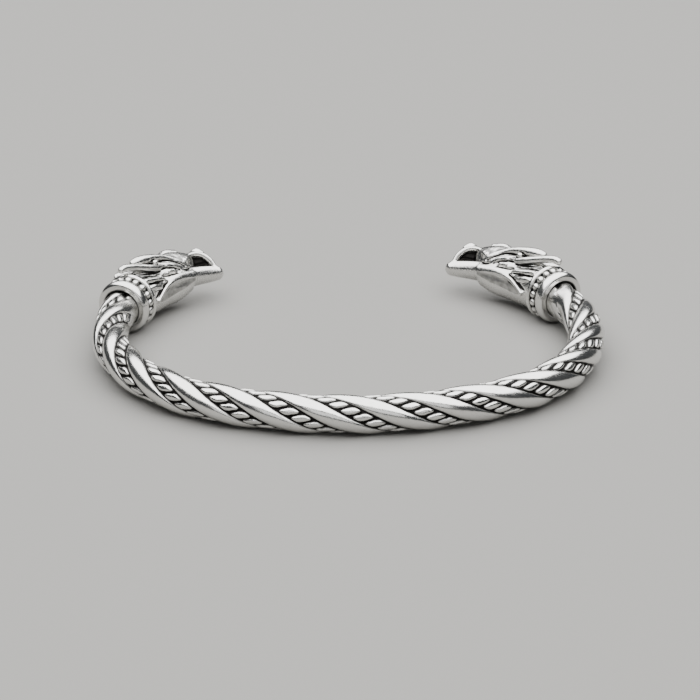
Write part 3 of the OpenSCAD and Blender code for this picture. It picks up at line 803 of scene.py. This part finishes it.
# %% Mend the field where its skin would touch itself
def fill_pinches(values):
    """Fills one corner of each grid square that has only two opposite corners inside."""
    filled = 0
    for axis in range(3):
        layers = np.moveaxis(values, axis, 0)
        a, b = layers[:, :-1, :-1], layers[:, 1:, :-1]
        c, d = layers[:, :-1, 1:], layers[:, 1:, 1:]
        falling = (a < 0) & (d < 0) & (b >= 0) & (c >= 0)
        rising = (b < 0) & (c < 0) & (a >= 0) & (d >= 0)
        b[falling] = a[rising] = -0.1 * VOXEL
        filled += int(falling.sum() + rising.sum())
    return filled


while fill_pinches(field):
    pass
print("inside points:", int((field < 0).sum()))


# %% Draw the skin
def skin_of(values, origin, step):
    """Points and quads of the surface where the values cross zero."""
    # One point for each cell that the surface crosses
    n = np.array(values.shape) - 1
    corner = [(i, j, k) for i in (0, 1) for j in (0, 1) for k in (0, 1)]
    at = {c: values[c[0]:c[0] + n[0], c[1]:c[1] + n[1], c[2]:c[2] + n[2]] for c in corner}
    inside = sum((at[c] < 0).astype(np.int8) for c in corner)
    crossed = (inside > 0) & (inside < 8)
    number = np.full(crossed.shape, -1, np.int64)
    cells = np.argwhere(crossed)
    number[crossed] = np.arange(len(cells))
    total, count = np.zeros((len(cells), 3)), np.zeros(len(cells))
    for c in corner:
        for axis in range(3):
            if c[axis]:
                continue
            d = tuple(int(i == axis) + c[i] for i in range(3))
            p, q = at[c][crossed].astype(float), at[d][crossed].astype(float)
            hit = (p < 0) != (q < 0)
            where = np.array(c, float) + np.outer(np.where(hit, p / np.where(hit, p - q, 1), 0),
                                                  np.eye(3)[axis])
            total[hit] += where[hit]
            count += hit
    points = origin + step * (cells + total / count[:, None])
    # One face for each edge of the grid that it crosses, through the four cells round it
    faces = []
    for axis in range(3):
        u, v = (axis + 1) % 3, (axis + 2) % 3
        one = np.moveaxis(values, axis, 0)
        change = (one[:-1] < 0) != (one[1:] < 0)
        edge = np.argwhere(np.moveaxis(change, 0, axis))
        edge = edge[(edge[:, u] > 0) & (edge[:, v] > 0)]
        edge = edge[(edge[:, u] < n[u]) & (edge[:, v] < n[v])]
        quad = []
        for du, dv in ((1, 1), (0, 1), (0, 0), (1, 0)):
            cell = edge.copy()
            cell[:, u] -= du
            cell[:, v] -= dv
            quad.append(number[tuple(cell.T)])
        quad = np.array(quad).T
        falls = values[tuple(edge.T)] < 0
        faces.append(np.where(falls[:, None], quad, quad[:, ::-1]))
    return points, np.vstack(faces)


points, quads = skin_of(field, LOW, VOXEL)
print("head skin:", len(points), "points,", len(quads), "faces")

# %% [markdown]
# ### Smooth it, find its hollows, paint its shade, and bend it
#
# A few rounds of averaging take the grid's steps out. Many more rounds on a copy fill the
# hollows, so the difference between the two tells how deep each point lies, and becomes
# the attribute for the blackening. Painted shade is added to it over the head's upper parts
# and near bars in the mouth, under the ears, at the brow and under the cheek. Then the
# straight head is bent, turned about its own length and set on the end of the band.

# %% Smooth the skin, find the recesses and paint the shade
pairs = np.vstack([quads[:, [i, (i + 1) % 4]] for i in range(4)])
pairs = np.unique(np.sort(pairs, axis=1), axis=0)
both_ways = np.vstack([pairs, pairs[:, ::-1]])
neighbours = np.bincount(both_ways[:, 0], minlength=len(points))


def averaged(p, rounds):
    """Moves each point half-way to the mean of its neighbours, round after round."""
    for _ in range(rounds):
        mean = np.stack([np.bincount(both_ways[:, 0], p[both_ways[:, 1], i], len(p))
                         for i in range(3)], axis=1) / neighbours[:, None]
        p = p + 0.5 * (mean - p)
    return p


SMOOTH_ROUNDS, FILL_ROUNDS = 2, 40
points = averaged(points, SMOOTH_ROUNDS)
diagonals = (points[quads[:, 2]] - points[quads[:, 0]], points[quads[:, 3]] - points[quads[:, 1]])
face_normals = np.cross(*diagonals)
normals = np.stack([np.bincount(quads.ravel(), np.repeat(face_normals[:, i], 4), len(points))
                    for i in range(3)], axis=1)
normals /= np.linalg.norm(normals, axis=1)[:, None] + 1e-12
hollow = ((averaged(points, FILL_ROUNDS) - points) * normals).sum(1)
# Painted shade: the ears and mane, which lie above the first place and behind the second,
# are darkened as a painted dark reflection, while the jaws and cheeks are left bright
PAINTED_SHADE_ABOVE, PAINTED_SHADE_BEHIND, PAINTED_SHADE_MORE = 0.5, 11.8, 0.40
CREST_RECESS, BLACK_HOLLOW = 0.20, 0.12
painted_upper_shade = (np.clip(points[:, 2] - PAINTED_SHADE_ABOVE, 0, 1)
           * np.clip(PAINTED_SHADE_BEHIND - points[:, 0], 0, 1))
recess = np.clip(CREST_RECESS + PAINTED_SHADE_MORE * painted_upper_shade + hollow / BLACK_HOLLOW, 0, 1)
# Painted shade: black is laid near each bar, up to a most for each, inside the mouth, under
# the ears, at the front of the brow and in the hollow below the cheek
PAINTED_SHADE_AT_BAR, PAINTED_SHADE_REACH = 0.75, 0.35
for rows, flat, most in (
        # Inside of the mouth
        ([(12.5, 0, 1.0, 1.0), (14.2, 0, 1.0, 1.15), (15.6, 0, 0.7, 0.75)], 0.9, 1.0),
        # Neck below the ears
        ([(0.6, 2.6, 2.9, 0.4), (2.5, 2.6, 1.7, 0.6), (5.2, 2.7, 1.0, 0.5)], 1.0, 0.5),
        # Front of the brow
        ([(10.6, 2.0, 1.9, 0.3), (12.2, 1.4, 1.9, 0.5)], 1.0, 0.6),
        # Hollow below the cheek
        ([(11.8, 2.0, -1.9, 0.3), (8.4, 2.3, -2.2, 0.55),
          (5.2, 2.25, -2.5, 0.55), (2.8, 2.1, -3.0, 0.35)], 1.0, 0.55)):
    for bar in bars_of(rows, True):
        outside = bar_distance(bar, flat, *points.T)
        recess = np.maximum(recess, np.clip(PAINTED_SHADE_AT_BAR - outside / PAINTED_SHADE_REACH, 0, most))
print(f"recess: mean {recess.mean():.2f}, share black {(recess > 0.6).mean():.2f}")

# %% Bend the heads and set them on
HEAD_START = COLLAR_LENGTH - MOUTH_DEPTH + 2 * CLEARANCE
roll = math.radians(HEAD_ROLL)
# The part past the band's end follows the ring's curve, and the part over the collar is straight
bend = np.maximum(points[:, 0], 0) / SIDE_RADIUS
past = np.minimum(points[:, 0], 0) + SIDE_RADIUS * np.sin(bend)
drift = SIDE_RADIUS * (1 - np.cos(bend))
inwards = -points[:, 2] * math.cos(roll) + points[:, 1] * math.sin(roll)
upwards = points[:, 2] * math.sin(roll) + points[:, 1] * math.cos(roll)
bent = np.stack([past - np.sin(bend) * inwards + HEAD_START,
                 drift + np.cos(bend) * inwards, upwards], axis=1)
for name, side in (("left_head", -1), ("right_head", 1)):
    place = np.array(on_end(side))
    world = (bent * MM) @ place[:3, :3].T + place[:3, 3]
    mesh = bpy.data.meshes.new(name + ".cast")
    mesh.from_pydata(world.tolist(), [], quads.tolist())
    for label, kind, values in (("recess", "FLOAT", recess.ravel()),
                                ("rub", "FLOAT_VECTOR", (points * MM).ravel())):
        store = mesh.attributes.new(label, kind, "POINT")
        store.data.foreach_set("value" if kind == "FLOAT" else "vector",
                               np.ascontiguousarray(values, np.float32))
    mesh.materials.append(head_steel)
    head = bpy.data.objects.new(name + ".cast", mesh)
    bpy.context.scene.collection.objects.link(head)
    close_and_smooth(head)
    pieces[name] = head
    print(name, len(mesh.polygons), "faces")

# %% [markdown]
# ## Put the pieces on the frame
#
# Each piece rides on the part's one body and replaces its CAD node.

# %% Ride and replace
for node, slot in (("twisted_band", "band_steel"), ("left_collar", "collar_steel"),
                   ("right_collar", "collar_steel"), ("left_head", "head_steel"),
                   ("right_head", "head_steel")):
    piece = pieces[node]
    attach(piece, "root")
    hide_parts(node)
    print(piece.name, "replaces", node)

# %% [markdown]
# ## Floor and light
#
# Polished metal shows its surroundings. A wide soft light overhead gives the white
# streaks on every upward face. A dim room keeps the sides dark between them, and a faint
# light in front lifts the nearest strands a little.

# %% Floor, world and lights
FLOOR_REACH = 4.0
floor_mesh = bpy.data.meshes.new("floor")
floor_mesh.from_pydata([(x * FLOOR_REACH, y * FLOOR_REACH, 0)
                        for x, y in ((-1, -1), (1, -1), (1, 1), (-1, 1))], [], [(0, 1, 2, 3)])
floor = bpy.data.objects.new("floor", floor_mesh)
bpy.context.scene.collection.objects.link(floor)
paper = bpy.data.materials.new("pale_matt_paper")
paper.use_nodes = True
sheet = paper.node_tree.nodes["Principled BSDF"].inputs
sheet["Base Color"].default_value, sheet["Roughness"].default_value = linear("7e7d7a"), 0.85
floor_mesh.materials.append(paper)

world = bpy.data.worlds.new("dim_room")
bpy.context.scene.world = world
world.use_nodes = True
room = world.node_tree.nodes["Background"].inputs
room["Color"].default_value, room["Strength"].default_value = linear("7c8084"), 0.25


def soft_light(name, place, width, depth, power):
    """A rectangular light, turned to the ring if it stands in front. Others face down."""
    data = bpy.data.lights.new(name, "AREA")
    data.shape, data.size, data.size_y, data.energy = "RECTANGLE", width, depth, power
    light = bpy.data.objects.new(name, data)
    light.location = place
    if place[1] < 0:
        light.rotation_euler = (-Vector(place)).to_track_quat("-Z", "Y").to_euler()
    bpy.context.scene.collection.objects.link(light)


# Places and sizes are in metres, and powers in watts
soft_light("overhead", (0.0, 0.16, 0.60), width=1.35, depth=1.45, power=33.0)
soft_light("front", (0.0, -0.78, 0.36), width=0.90, depth=0.42, power=1.6)
